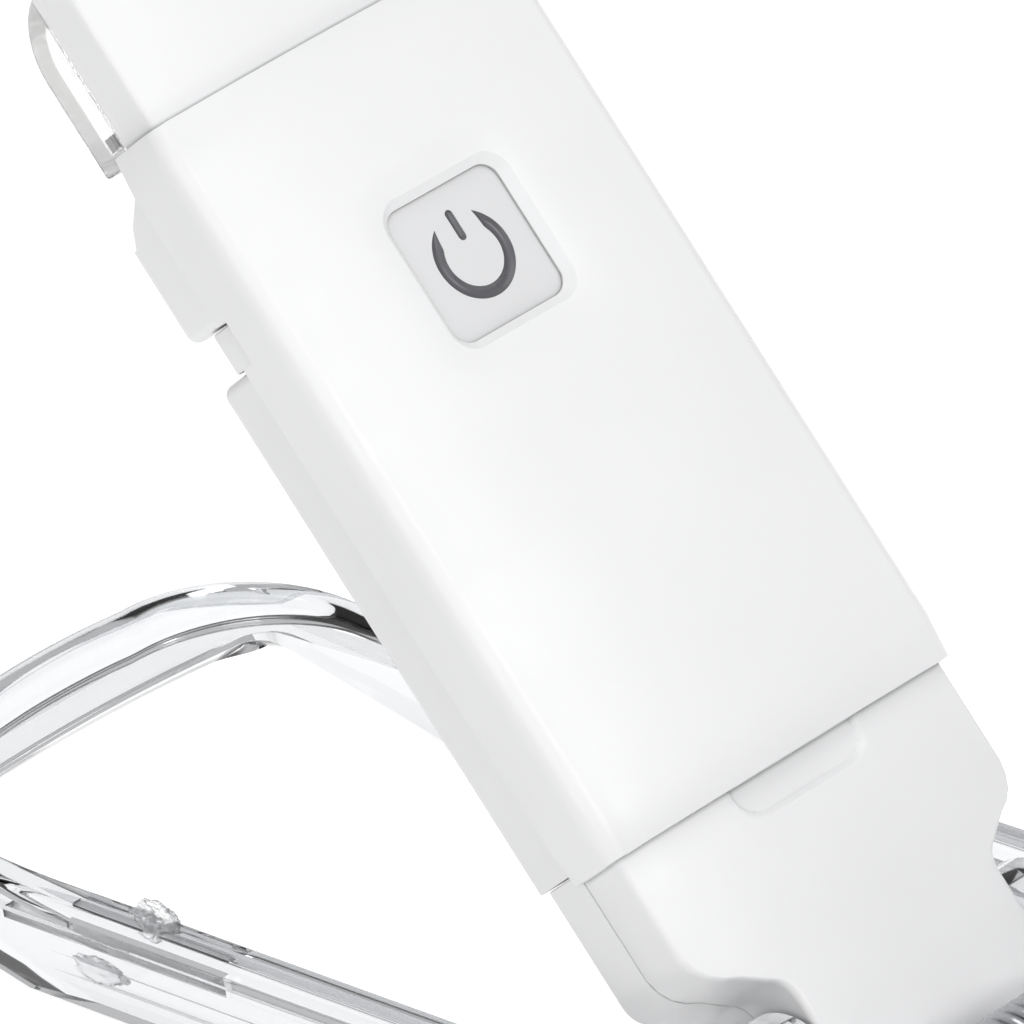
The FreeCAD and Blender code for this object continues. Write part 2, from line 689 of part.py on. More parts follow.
def make_lower_jaw():
    near, far = value("lower_nose_near"), value("lower_nose_far")
    handle = value("handle_length")
    bow, lift = value("lower_bow"), value("lower_lift")
    under, top = value("lower_nose_under"), value("lower_nose_top")
    root_top, handle_top = value("root_top"), value("handle_top")
    profile = pad("lower_profile", "YZ", (-handle, 0), [
        (lift, 0), (near - bow, under), (far, under + 0.3),
        (far, top), (near - bow, top), (72.0, rail_top),
        (4.2, rail_top), (3.2, root_top), (-4.5, root_top), (-6.5, handle_top), (-handle, handle_top)],
        "dims.clip_width", middle=True)
    middle = nose_loop("lower_middle", rail_inner, near, 2.2, 4.0, bow)

    def below_opening(edge):
        """The lower edges of the open middle, along the rails and the crossbar."""
        box = edge.BoundBox
        climb = max(0.0, box.YMax - lift) * under / (near - bow - lift)
        return box.YMin > 4.5 and box.YMax < near + 0.1 and box.ZMax < climb + 0.1 and (
            max(abs(box.XMin), abs(box.XMax)) < rail_inner + 0.01)

    frame = chamfer("lower_eased", cut("lower_open", profile, middle), value("lower_chamfer"), below_opening)
    corners = both_sides("lower_corners", corner_cutter("lower_corner", half_clip, far, 4.5))
    side_step = both_sides("rail_steps", pad("rail_step", "XY", (half_clip, 14), [
        (half_clip - 0.3, 20), (half_clip - 0.3, 60), (half_clip, 66), (half_clip + 1, 66),
        (half_clip + 1, 14)], "1.3", "2.1"))
    frame = cut("lower_frame", frame, corners, handle_ends("lower_tail"), side_step)
    ear_in = "dims.neck_width / 2 + dims.ear_gap"
    ear_out = f"{ear_in} + dims.ear_thickness"
    disc = rod("ear_disc", "dims.barrel_radius", "dims.ear_thickness", (ear_in, *TILT))
    foot = block("ear_foot", (ear_in, "2", "0.5"), (ear_out, "dims.tilt_axis_y + 4", "dims.tilt_axis_z"))
    web = block("ear_web", (f"{ear_out} - 0.5", "2", "0.5"), ("dims.clip_width / 2 - 1", "7", "2.6"))
    lug = block("pivot_lug", ("dims.clip_width / 2 - 5", "-2.6", "2"),
                ("dims.clip_width / 2 - dims.rail_width - 0.3", "2.6", "dims.pivot_z"))
    lug_top = rod("pivot_lug_top", "2.6", "2.7", ("dims.clip_width / 2 - 5", *PIVOT))
    side = fuse("root_side", disc, foot, web, lug, lug_top)
    seat = both_sides("spring_seats", block("spring_seat", ("1.4", "-15.6", "1"), ("4.2", "-13.8", "3.8")))
    solid = fuse("lower_solid", frame, both_sides("root_sides", side), seat)
    tilt_bore = rod("ear_bores", "dims.tilt_pin_radius", "40", ("-20", *TILT))
    pivot_bore = rod("lug_bores", "dims.pivot_radius", "50", ("-25", *PIVOT))
    pivot_room = both_sides("upper_rail_room", rod("upper_rail_room_right", "3.2", "5",
                            ("dims.clip_width / 2 - dims.rail_width - 0.25", *PIVOT)))
    pad_seat = both_sides("lower_pad_seats", block(
        "lower_pad_seat", ("dims.clip_width / 2 - 1.6", "50", "dims.rail_top - 0.7"),
        ("dims.clip_width / 2 - 0.4", "70", "9")))
    part("lower_jaw", cut("lower_jaw", solid, tilt_bore, pivot_bore, pivot_room, pad_seat))


def upper_top_line(y):
    """Height of the upper jaw's top: level, then a smooth climb to the nose."""
    start, end = value("climb_start"), value("upper_nose_far")
    climb = (value("nose_top") - upper_top) / (end - start) ** 2
    return upper_top + climb * max(0.0, y - start) ** 2


def make_upper_jaw():
    handle = value("handle_length")
    rise = math.tan(math.radians(value("handle_rise")))
    plate = value("handle_plate")
    far = value("upper_nose_far")
    under = value("nose_under")
    climb_middle = (value("climb_start") + far) / 2
    handle_top = upper_top + rise * (handle - 3)
    profile = pad("upper_profile", "YZ", (4.0, upper_under), [
        (64.0, upper_under),
        ((68.4, under - 0.4), (72.0, under)), (far, under),
        (far, upper_top_line(far)),
        ((climb_middle, upper_top_line(climb_middle)), (value("climb_start"), upper_top)),
        (-3.0, upper_top),
        (-handle, handle_top), (-handle, handle_top - plate),
        (-3.4, upper_top - plate), (-2.2, 5.0), (2.2, 5.0)], "dims.clip_width", middle=True)
    radius = value("upper_nose_radius")
    bow = value("nose_bow")
    outside = nose_loop("upper_outside", half_clip, far, radius, -handle - 1, bow)
    opening = nose_loop("upper_middle", rail_inner, far - value("nose_bar"), radius - 0.6, -3.2, bow)
    frame = cut("upper_frame", common("upper_blank", profile, outside), opening, handle_ends("upper_tail"))
    eye = rod("pivot_eye", "2.9", "dims.rail_width", ("dims.clip_width / 2 - dims.rail_width", *PIVOT))
    solid = fuse("upper_solid", frame, both_sides("pivot_eyes", eye))
    bore = rod("upper_bores", "dims.pivot_radius + dims.running_gap", "50", ("-25", *PIVOT))
    pad_seat = both_sides("upper_pad_seats", block(
        "upper_pad_seat", ("dims.clip_width / 2 - 1.6", "50", "0"),
        ("dims.clip_width / 2 - 0.4", "64", f"{upper_under} + 0.6")))
    stud_hole = both_sides("upper_stud_holes", rod(
        "upper_stud_hole", "0.5", "20", ("dims.clip_width / 2 - 1", "57", "0"), "z"))
    window = block("spring_window", ("-dims.spring_room", "-dims.window_end", "0"),
                   ("dims.spring_room", "0", "20"))
    part("upper_jaw", cut("upper_jaw", solid, bore, pad_seat, stud_hole, window))


def make_clip_hardware():
    x0, x1 = "dims.clip_width / 2 - 1.58", "dims.clip_width / 2 - 0.42"
    strip = block("lower_strip", (x0, "50.1", "dims.rail_top - 0.68"), (x1, "69.9", "dims.rail_top + 0.04"))
    part("lower_grip_pads", both_sides("lower_grip_pads", strip))
    strip = block("upper_strip", (x0, "50.1", f"{upper_under} - 0.04"), (x1, "63.9", f"{upper_under} + 0.58"))
    stud_x = "dims.clip_width / 2 - 1"
    stud = rod("upper_stud", "0.48", "dims.upper_top - dims.rail_top + 0.4",
               (stud_x, "57", f"{upper_under} + 0.3"), "z")
    cap = rod("upper_stud_cap", "0.95", "1.3", (stud_x, "57", "dims.upper_top + 0.02"), "z")
    part("upper_grip_pads", both_sides("upper_grip_pads", fuse("upper_pad", strip, stud, cap)))

    part("tilt_pin", rod("tilt_pin", "dims.tilt_pin_radius", "24.4", ("-12.2", *TILT)))
    ring = cut("friction_washer", rod("washer_outside", "3.4", "0.25", ("dims.neck_width / 2 + 0.05", *TILT)),
               rod("washer_inside", "dims.tilt_pin_radius + 0.04", "20", ("0", *TILT)))
    part("tilt_washers", both_sides("tilt_washers", ring))
    part("pivot_pin", rod("pivot_pin", "dims.pivot_radius", "dims.clip_width - 0.4",
                          ("0.2 - dims.clip_width / 2", *PIVOT)))


def make_spring():
    """Torsion spring round the pivot pin, one leg on each jaw's handle."""
    turns, wire, coil = 5.5, value("spring_wire"), value("spring_radius")
    pitch = wire * 1.12
    length = turns * pitch
    helix = doc.addObject("Part::Helix", "spring_helix")
    bind(helix, Pitch="dims.spring_wire * 1.12", Height=f"dims.spring_wire * 1.12 * {turns}",
         Radius="dims.spring_radius")
    circle = doc.addObject("Part::Circle", "spring_section")
    bind(circle, Radius="dims.spring_wire / 2")
    circle.Placement = FreeCAD.Placement(Vector(coil, 0, 0), FreeCAD.Rotation(Vector(1, 0, 0), 90))
    sweep = doc.addObject("Part::Sweep", "spring_coil")
    sweep.Sections = [circle]
    doc.recompute()
    sweep.Spine = (helix, ["Edge1"])
    sweep.Solid = True
    sweep.Frenet = True
    leg = doc.addObject("Part::Cylinder", "spring_leg_low")
    bind(leg, Radius="dims.spring_wire / 2", Height="dims.spring_leg")
    leg.Placement = FreeCAD.Placement(Vector(coil, 0, 0), FreeCAD.Rotation(Vector(1, 0, 0), 90))
    other = doc.addObject("Part::Cylinder", "spring_leg_high")
    bind(other, Radius="dims.spring_wire / 2", Height="dims.spring_leg")
    other.Placement = FreeCAD.Placement(Vector(-coil, 0, length), FreeCAD.Rotation(Vector(1, 0, 0), 90))
    spring = fuse("clip_spring", sweep, leg, other)
    part("clip_spring", spring)
    turn = FreeCAD.Rotation(Vector(0, 1, 0), 90)
    spring.Placement = FreeCAD.Placement(Vector(-length / 2, 0, value("pivot_z")), turn)


def check_and_write():
    doc.recompute()
    faults = [f"{o.Name}: {o.State}" for o in doc.Objects if {"Invalid", "Error"} & set(o.State)]
    for name, item in PARTS.items():
        shape = item.Shape
        if shape.isNull() or not shape.isValid() or not shape.Solids:
            faults.append(f"{name}: no valid solid")
    if faults:
        raise SystemExit("\n".join(faults))
    os.makedirs("parts", exist_ok=True)
    for name, item in PARTS.items():
        item.Shape.exportStep(f"parts/{name}.step")
        box = item.Shape.BoundBox
        print(f"{name:20s} {len(item.Shape.Solids):2d} solids {item.Shape.Volume:9.1f} mm3 "
              f"x {box.XMin:6.1f} {box.XMax:6.1f} y {box.YMin:6.1f} {box.YMax:6.1f} "
              f"z {box.ZMin:6.1f} {box.ZMax:6.1f}")


make_front_shell()
make_rear_covers()
make_button()
make_electronics()
make_plug()
make_screws()
make_head()
make_cap()
make_lower_jaw()
make_upper_jaw()
make_clip_hardware()
make_spring()
check_and_write()
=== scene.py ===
"""Looks of the clip-on reading lamp: materials, rounded edges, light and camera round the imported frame."""
import json
import math

import bmesh
import bpy
from mathutils import Matrix, Vector
from mathutils.noise import noise as noise_at

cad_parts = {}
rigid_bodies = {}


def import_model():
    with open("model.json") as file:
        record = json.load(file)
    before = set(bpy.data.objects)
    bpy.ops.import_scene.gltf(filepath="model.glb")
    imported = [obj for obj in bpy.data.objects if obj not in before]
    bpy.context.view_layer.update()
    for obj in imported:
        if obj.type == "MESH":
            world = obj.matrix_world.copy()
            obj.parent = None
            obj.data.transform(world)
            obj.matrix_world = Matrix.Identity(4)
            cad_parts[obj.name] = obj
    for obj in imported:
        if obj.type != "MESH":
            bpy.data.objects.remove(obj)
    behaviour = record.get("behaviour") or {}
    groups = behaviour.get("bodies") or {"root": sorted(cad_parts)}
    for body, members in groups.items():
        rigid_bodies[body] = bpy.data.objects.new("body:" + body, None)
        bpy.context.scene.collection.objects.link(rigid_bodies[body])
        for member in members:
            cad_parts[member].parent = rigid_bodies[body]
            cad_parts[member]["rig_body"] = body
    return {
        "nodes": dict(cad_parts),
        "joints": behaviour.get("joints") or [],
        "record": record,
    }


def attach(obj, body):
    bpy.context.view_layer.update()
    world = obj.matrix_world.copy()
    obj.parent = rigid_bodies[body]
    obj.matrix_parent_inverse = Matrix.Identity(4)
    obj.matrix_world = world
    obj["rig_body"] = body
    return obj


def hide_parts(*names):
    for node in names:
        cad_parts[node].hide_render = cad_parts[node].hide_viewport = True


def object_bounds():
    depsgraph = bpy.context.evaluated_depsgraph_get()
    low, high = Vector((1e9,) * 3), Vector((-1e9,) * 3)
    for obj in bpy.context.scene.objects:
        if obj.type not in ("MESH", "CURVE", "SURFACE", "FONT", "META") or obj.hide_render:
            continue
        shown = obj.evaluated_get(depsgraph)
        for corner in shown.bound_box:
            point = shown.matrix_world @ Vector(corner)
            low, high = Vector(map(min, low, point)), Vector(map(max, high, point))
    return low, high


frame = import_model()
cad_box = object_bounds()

MM = 0.001
JOINTS = {joint["name"]: joint for joint in frame["joints"]}
NODES = frame["nodes"]

# The lamp's own axes at rest: across, back and up, round the tilt hinge.
TILT = Vector(JOINTS["lamp_tilt"]["pos_m"])
UP = Vector(JOINTS["plug_pull"]["axis"]).normalized()
BACK = Vector(JOINTS["button_press"]["axis"]).normalized()
ACROSS = Vector((1, 0, 0))
LAMP = Matrix((ACROSS, BACK, UP)).transposed().to_4x4()
LAMP.translation = TILT


# ---- materials ----

GLOSS_SPREAD = 0.05      # how far a plastic's roughness strays either way
CREASE_SHADE_REACH = 0.0005    # metres between two faces within which painted shade darkens a crease


def new_material(name):
    material = bpy.data.materials.new(name)
    material.use_nodes = True
    nodes = material.node_tree.nodes
    return material, material.node_tree, nodes["Principled BSDF"]


def noise(tree, scale, detail):
    place = tree.nodes.new("ShaderNodeTexCoord")
    texture = tree.nodes.new("ShaderNodeTexNoise")
    texture.inputs["Scale"].default_value = scale
    texture.inputs["Detail"].default_value = detail
    tree.links.new(place.outputs["Object"], texture.inputs["Vector"])
    return texture


def remap(tree, source, low, high, start=0.35, end=0.65):
    span = tree.nodes.new("ShaderNodeMapRange")
    span.inputs["From Min"].default_value = start
    span.inputs["From Max"].default_value = end
    span.inputs["To Min"].default_value = low
    span.inputs["To Max"].default_value = high
    tree.links.new(source, span.inputs["Value"])
    return span.outputs["Result"]


def mix_colours(tree, factor, first, second):
    mix = tree.nodes.new("ShaderNodeMix")
    mix.data_type = "RGBA"
    mix.inputs["A"].default_value = (*first, 1)
    mix.inputs["B"].default_value = (*second, 1)
    tree.links.new(factor, mix.inputs["Factor"])
    return mix.outputs["Result"]


def painted_crease_shade(tree, colour):
    """The colour with painted shade, falling to near black where faces stand less than half a millimetre
    apart.
    """
    crease = tree.nodes.new("ShaderNodeAmbientOcclusion")
    crease.samples = 6
    crease.inputs["Distance"].default_value = CREASE_SHADE_REACH
    mix = tree.nodes.new("ShaderNodeMix")
    mix.data_type = "RGBA"
    mix.inputs["A"].default_value = (0.03, 0.03, 0.03, 1)
    tree.links.new(colour, mix.inputs["B"])
    tree.links.new(remap(tree, crease.outputs["AO"], 0.0, 1.0, 0.25, 0.8), mix.inputs["Factor"])
    return mix.outputs["Result"]


def bump(tree, height, strength, distance, shader):
    node = tree.nodes.new("ShaderNodeBump")
    node.inputs["Strength"].default_value = strength
    node.inputs["Distance"].default_value = distance
    tree.links.new(height, node.inputs["Height"])
    tree.links.new(node.outputs["Normal"], shader.inputs["Normal"])


def plastic(name, colour, roughness, grain=0.015, grain_scale=9000.0, subsurface=0.0):
    """Moulded plastic: faint blotches in colour and gloss, painted shade in its creases and seams, and a fine
    spark-eroded grain.
    """
    material, tree, shader = new_material(name)
    blotch = noise(tree, 55.0, 3.0)
    shade = remap(tree, blotch.outputs["Fac"], 0.0, 1.0)
    darker = tuple(channel * 0.975 for channel in colour)
    blotched = mix_colours(tree, shade, darker, colour)
    # painted shade: the base colour falls to near black in creases, seams and gaps
    tree.links.new(painted_crease_shade(tree, blotched), shader.inputs["Base Color"])
    wear = noise(tree, 420.0, 4.0)
    gloss = remap(tree, wear.outputs["Fac"], roughness - GLOSS_SPREAD, roughness + GLOSS_SPREAD)
    tree.links.new(gloss, shader.inputs["Roughness"])
    fine = noise(tree, grain_scale, 1.0)
    bump(tree, fine.outputs["Fac"], grain, 0.0001, shader)
    shader.inputs["IOR"].default_value = 1.5
    if subsurface:
        shader.inputs["Subsurface Weight"].default_value = subsurface
        shader.inputs["Subsurface Radius"].default_value = (0.002, 0.002, 0.0018)
        shader.inputs["Subsurface Scale"].default_value = 1.0
    return material


def clear(name, tint, roughness, ior, waviness=0.05, solidity=1.0):
    """Clear moulded plastic with flow waves and faint haze; solidity below 1 lets light straight through."""
    material, tree, shader = new_material(name)
    shader.inputs["Base Color"].default_value = (*tint, 1)
    shader.inputs["Transmission Weight"].default_value = 1.0
    shader.inputs["IOR"].default_value = ior
    shader.inputs["Alpha"].default_value = solidity
    haze = noise(tree, 260.0, 3.0)
    tree.links.new(remap(tree, haze.outputs["Fac"], roughness * 0.6, roughness * 1.6),
                   shader.inputs["Roughness"])
    flow = noise(tree, 170.0, 1.0)
    bump(tree, flow.outputs["Fac"], waviness, 0.0004, shader)
    return material


def metal(name, colour, roughness, scratch_scale=900.0):
    """Drawn or pressed metal: fine streaks in roughness and a slight bump."""
    material, tree, shader = new_material(name)
    shader.inputs["Metallic"].default_value = 1.0
    place = tree.nodes.new("ShaderNodeTexCoord")
    stretch = tree.nodes.new("ShaderNodeMapping")
    stretch.inputs["Scale"].default_value = (0.15, 1, 1)
    streaks = tree.nodes.new("ShaderNodeTexNoise")
    streaks.inputs["Scale"].default_value = scratch_scale
    streaks.inputs["Detail"].default_value = 3.0
    tree.links.new(place.outputs["Object"], stretch.inputs["Vector"])
    tree.links.new(stretch.outputs["Vector"], streaks.inputs["Vector"])
    tree.links.new(remap(tree, streaks.outputs["Fac"], roughness * 0.7, roughness * 1.5),
                   shader.inputs["Roughness"])
    darker = tuple(channel * 0.85 for channel in colour)
    tree.links.new(mix_colours(tree, remap(tree, streaks.outputs["Fac"], 0, 1), darker, colour),
                   shader.inputs["Base Color"])
    bump(tree, streaks.outputs["Fac"], 0.05, 0.00005, shader)
    return material


MATERIALS = {
    "white_shell": plastic("white_shell", (0.775, 0.777, 0.783), 0.34),
    "white_button": plastic("white_button", (0.66, 0.662, 0.67), 0.38),
    "symbol_grey": plastic("symbol_grey", (0.10, 0.10, 0.11), 0.3),
    "clear_plastic": clear("clear_plastic", (0.79, 0.8, 0.815), 0.02, 1.52),
    "lens_clear": clear("lens_clear", (0.9, 0.9, 0.905), 0.05, 1.45, 0.1, 0.8),
    "silicone": clear("silicone", (0.97, 0.975, 0.98), 0.3, 1.22, 0.3, 0.7),
    "steel": metal("steel", (0.62, 0.63, 0.65), 0.22),
    "spring_steel": metal("spring_steel", (0.5, 0.51, 0.53), 0.25),
    "plug_steel": metal("plug_steel", (0.72, 0.72, 0.73), 0.25),
    "nylon": plastic("nylon", (0.78, 0.78, 0.75), 0.5, subsurface=0.1),
    "circuit_board": plastic("circuit_board", (0.03, 0.16, 0.08), 0.35),
    "led_board_white": plastic("led_board_white", (0.85, 0.85, 0.83), 0.4),
    "black_plastic": plastic("black_plastic", (0.02, 0.02, 0.022), 0.45),
    "battery_foil": metal("battery_foil", (0.7, 0.7, 0.72), 0.4, 300.0),
    "foam": plastic("foam", (0.06, 0.06, 0.06), 0.9, grain=0.5, grain_scale=2500.0),
    "tongue_white": plastic("tongue_white", (0.85, 0.85, 0.85), 0.4),
    "gold": metal("gold", (0.83, 0.62, 0.28), 0.2),
    "led_white": plastic("led_white", (0.9, 0.89, 0.82), 0.3),
}
SLOT_OF = {entry["node"]: entry["material_slot"] for entry in frame["record"]["subparts"]}


def paint(obj, slot):
    obj.data.materials.clear()
    obj.data.materials.append(MATERIALS[slot])


# ---- mesh helpers ----


def smooth(obj, angle=32.0):
    for polygon in obj.data.polygons:
        polygon.use_smooth = True
    bpy.context.view_layer.objects.active = obj
    obj.select_set(True)
    bpy.ops.object.shade_smooth_by_angle(angle=math.radians(angle))
    obj.select_set(False)


def lamp_point(x, y, z):
    """A place in the lamp's own frame, in millimetres, as a point of the model."""
    return TILT + (ACROSS * x + BACK * y + UP * z) * MM


def row_point(x, y, z):
    """A place in the model's own axes, in millimetres, as a point of the model."""
    return Vector((x, y, z)) * MM


def mirrored(inner, outer):
    """The left and right span across of a pair, from its distances to the centreline."""
    return (-outer, -inner), (inner, outer)


def link(name, data):
    """A new object in the scene, round a mesh, a light or a camera."""
    piece = bpy.data.objects.new(name, data)
    bpy.context.scene.collection.objects.link(piece)
    return piece


def link_mesh(name, points, faces):
    mesh = bpy.data.meshes.new(name)
    mesh.from_pydata([tuple(point) for point in points], [], faces)
    return link(name, mesh)


def applied(piece):
    """The piece with its modifiers worked into its mesh."""
    graph = bpy.context.evaluated_depsgraph_get()
    mesh = bpy.data.meshes.new_from_object(piece.evaluated_get(graph))
    mesh.name = piece.name
    piece.modifiers.clear()
    piece.data = mesh
    return piece


def cleaned(piece, distance=0.002):
    """Welds points that coincide and turns every face outward."""
    shape = bmesh.new()
    shape.from_mesh(piece.data)
    bmesh.ops.remove_doubles(shape, verts=shape.verts, dist=distance * MM)
    bmesh.ops.recalc_face_normals(shape, faces=shape.faces)
    shape.to_mesh(piece.data)
    shape.free()
    return piece


def eased_edges(piece, width, segments=3, angle=35.0):
    bevel = piece.modifiers.new("rounding", "BEVEL")
    bevel.width = width * MM
    bevel.segments = segments
    bevel.limit_method = "ANGLE"
    bevel.angle_limit = math.radians(angle)
    bevel.use_clamp_overlap = True
    return piece


def combined(piece, other, operation):
    """The piece joined with or cut by another, which is used up."""
    step = piece.modifiers.new("boolean", "BOOLEAN")
    step.operation = operation
    step.solver = "EXACT"
    step.object = other
    applied(piece)
    bpy.data.objects.remove(other)
    return piece


def joined(name, pieces):
    """One object from several, without merging their volumes."""
    points, faces = [], []
    for piece in pieces:
        start = len(points)
        points += [vertex.co.copy() for vertex in piece.data.vertices]
        faces += [[start + index for index in polygon.vertices] for polygon in piece.data.polygons]
        bpy.data.objects.remove(piece)
    return link_mesh(name, points, faces)


def brick(name, place, across, back, up):
    """A plain box from its three spans in millimetres, for cutting and small ribs."""
    points = [place(x, y, z) for x in across for y in back for z in up]
    faces = [(0, 1, 3, 2), (4, 6, 7, 5), (0, 4, 5, 1), (2, 3, 7, 6), (0, 2, 6, 4), (1, 5, 7, 3)]
    return cleaned(link_mesh(name, points, faces))


def finished(piece, body, nodes, slot, angle=40.0):
    """Smooths, paints and seats a piece that stands for CAD nodes."""
    piece.data.validate()
    paint(piece, slot)
    smooth(piece, angle)
    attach(piece, body)
    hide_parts(*nodes)
    return piece


def ease(share):
    share = min(1.0, max(0.0, share))
    return share * share * (3 - 2 * share)


# ---- front shell of the lamp body ----

HALF = 13.8              # half width of the casing, millimetres from here on
FRONT = -4.6             # the front face at its crown
CROWN = 1.4              # how far the crown stands proud of the face's shoulders
CORNER = 0.5             # radius of the casing's long edges
PARTING = 0.8            # plane where the front and rear shells meet
SHELL_LOW, SHELL_HIGH = 17.55, 66.45
SHELL_WALL = 1.0
END_SHARE = 0.84         # a skin's ends are drawn in to this share of its width
CRISP = 0.06             # rounding of the white shells' edges
RIB_EDGE = 0.15
GROOVE_LOW, GROOVE_HIGH, GROOVE_SIDE = 52.7, 55.6, 0.35
GROOVE_GAP = 0.08        # between the rear covers and the band at the groove's floor
RIM_RADIUS = 0.7         # rounding of the rear covers beside the groove
LUG_IN, LUG_OUT, LUG_PLAY = 9, 12, 0.2
BUTTON_HEIGHT = 51.5
BUTTON_HALF, BUTTON_RADIUS = 5.3, 2.0
BUTTON_GAP = 0.15
DISH_WIDTH, DISH_RIM = 1.8, -4.2
PATCH = 8.0              # half size of the square of mesh laid out round the button
PITCH = 0.5
ROUND = int(8 * PATCH / PITCH)


def crown(x):
    """Depth of the crowned face at a distance from the centreline."""
    reach = HALF - CORNER
    bend = (reach ** 2 + CROWN ** 2) / (2 * CROWN)
    return FRONT + bend - math.sqrt(bend ** 2 - min(abs(x), reach) ** 2)


def outline_point(half, radius, share):
    """A point on a rounded square, at a share of the way round from the middle of its lower side."""
    straight, arc = 2 * (half - radius), math.pi / 2 * radius
    quarter = straight + arc
    way = (share * 4 * quarter + 3 * quarter + straight / 2) % (4 * quarter)
    turn, way = divmod(way, quarter)
    if way <= straight:
        x, z = half, -half + radius + way
    else:
        angle = (way - straight) / radius
        x, z = half - radius + radius * math.cos(angle), half - radius + radius * math.sin(angle)
    for _ in range(int(turn)):
        x, z = -z, x
    return x, z


def spaced(low, high, steps):
    return [low + (high - low) * i / steps for i in range(steps + 1)]


def ring_faces(first, second, count):
    """Quads between two closed rings of points, given where each ring starts."""
    return [(first + i, first + (i + 1) % count, second + (i + 1) % count, second + i) for i in range(count)]


def shell_profile():
    """Across the casing at one height: left side, rounded edge, crowned face, and the same mirrored."""
    side = [(-HALF, y) for y in (PARTING, -0.6, -1.8)]
    edge = []
    for angle in spaced(180, 270, 8):
        turn = math.radians(angle)
        edge.append((-HALF + CORNER + CORNER * math.cos(turn), FRONT + CROWN + CORNER * (1 + math.sin(turn))))
    face = [(x, crown(x)) for x in (-12.2, -11.1, -10.0, -9.0)]
    middle = [(x, crown(x)) for x in spaced(-PATCH, PATCH, int(2 * PATCH / PITCH))]
    left = side + edge + face
    return left, middle, [(-x, y) for x, y in reversed(left)]


def front_skin():
    """The front shell's outer skin: crowned face with the dished margin and the hole for the button."""
    left, middle, right = shell_profile()
    profile = left + middle + right
    low, high = BUTTON_HEIGHT - PATCH, BUTTON_HEIGHT + PATCH
    heights = spaced(SHELL_LOW, low, 12)[:-1] + spaced(low, high, int(2 * PATCH / PITCH)) + (
        spaced(high, SHELL_HIGH, 4)[1:])
    points, faces = [], []
    for z in heights:
        points += [lamp_point(x, y, z) for x, y in profile]
    width = len(profile)
    for row in range(len(heights) - 1):
        in_rows = low - 0.01 < (heights[row] + heights[row + 1]) / 2 < high + 0.01
        for column in range(width - 1):
            in_columns = len(left) <= column < len(left) + len(middle) - 1
            if not (in_rows and in_columns):
                start = row * width + column
                faces.append((start, start + 1, start + width + 1, start + width))
    for z, row in ((SHELL_LOW, 0), (SHELL_HIGH, len(heights) - 1)):
        wall = len(points)
        for x, _ in profile:
            points.append(lamp_point(x * END_SHARE, PARTING, z))
        for column in range(width - 1):
            start = row * width + column
            faces.append((start, start + 1, wall + column + 1, wall + column))
    hole, corner = BUTTON_HALF + BUTTON_GAP, BUTTON_RADIUS + BUTTON_GAP
    rings = [(PATCH, 0.0, 0.0, 0.0), (hole + DISH_WIDTH + 0.4, 3.6, 0.0, 0.0)]
    for margin in spaced(DISH_WIDTH, 0.06, 9):
        rings.append((hole + margin, corner + margin, ease(1 - margin / DISH_WIDTH), 0.0))
    rings += [(hole, corner, 1.0, 0.06), (hole, corner, 1.0, 0.95)]
    before = None
    for half, radius, share, depth in rings:
        start = len(points)
        for i in range(ROUND):
            x, z = outline_point(half, radius, i / ROUND)
            y = crown(x) + (DISH_RIM - crown(x)) * share + depth
            points.append(lamp_point(x, y, BUTTON_HEIGHT + z))
        if before is not None:
            faces += ring_faces(before, start, ROUND)
        before = start
    return cleaned(link_mesh("front_shell_visual", points, faces))


def walled(skin):
    """The skin given its wall, on the side away from its faces."""
    wall = skin.modifiers.new("wall", "SOLIDIFY")
    wall.thickness = SHELL_WALL * MM
    wall.offset = -1.0
    return applied(skin)


def facing(piece, direction):
    """Turns all faces over if the piece's widest face looks away from a direction."""
    widest = max(piece.data.polygons, key=lambda polygon: polygon.area)
    if widest.normal.dot(direction) < 0:
        piece.data.flip_normals()
    return piece


def make_front_shell():
    skin = walled(facing(front_skin(), -BACK))
    slots = mirrored(LUG_IN - LUG_PLAY, LUG_OUT + LUG_PLAY)
    for across, slot in zip(mirrored(HALF - GROOVE_SIDE, HALF + 1), slots):
        notch = brick("notch", lamp_point, across, (-0.3, 1.5), (GROOVE_LOW, GROOVE_HIGH))
        combined(skin, notch, "DIFFERENCE")
        combined(skin, brick("slot", lamp_point, slot, (-1.4, 1.5), (63.6, 68)), "DIFFERENCE")
    low, high = GROOVE_LOW + GROOVE_GAP, GROOVE_HIGH - GROOVE_GAP
    outer = HALF - GROOVE_SIDE - 0.01
    band = brick("band", lamp_point, (-outer, outer), (0.4, 3.6), (low, high))
    inside = brick("inside", lamp_point, (-HALF + 1.2, HALF - 1.2), (-1, 2.8), (low - 1, high + 1))
    ribs = [combined(band, inside, "DIFFERENCE")]
    for floor, boss in zip(mirrored(HALF - 1.2, HALF - GROOVE_SIDE - 0.02), mirrored(6.4, 8.7)):
        ribs.append(brick("floor", lamp_point, floor, (-0.6, PARTING), (GROOVE_LOW - 0.3, GROOVE_HIGH + 0.3)))
        ribs.append(brick("boss", lamp_point, boss, (-2.3, PARTING), (63.8, 65.4)))
    skin = applied(eased_edges(skin, CRISP, 2, 50.0))
    ribs = applied(eased_edges(joined("ribs", ribs), RIB_EDGE, 2, 50.0))
    shell = joined("front_shell_visual", [skin, ribs])
    finished(shell, "lamp_body", ["front_shell"], "white_shell", 30.0)


# ---- head shell and front of the cap ----

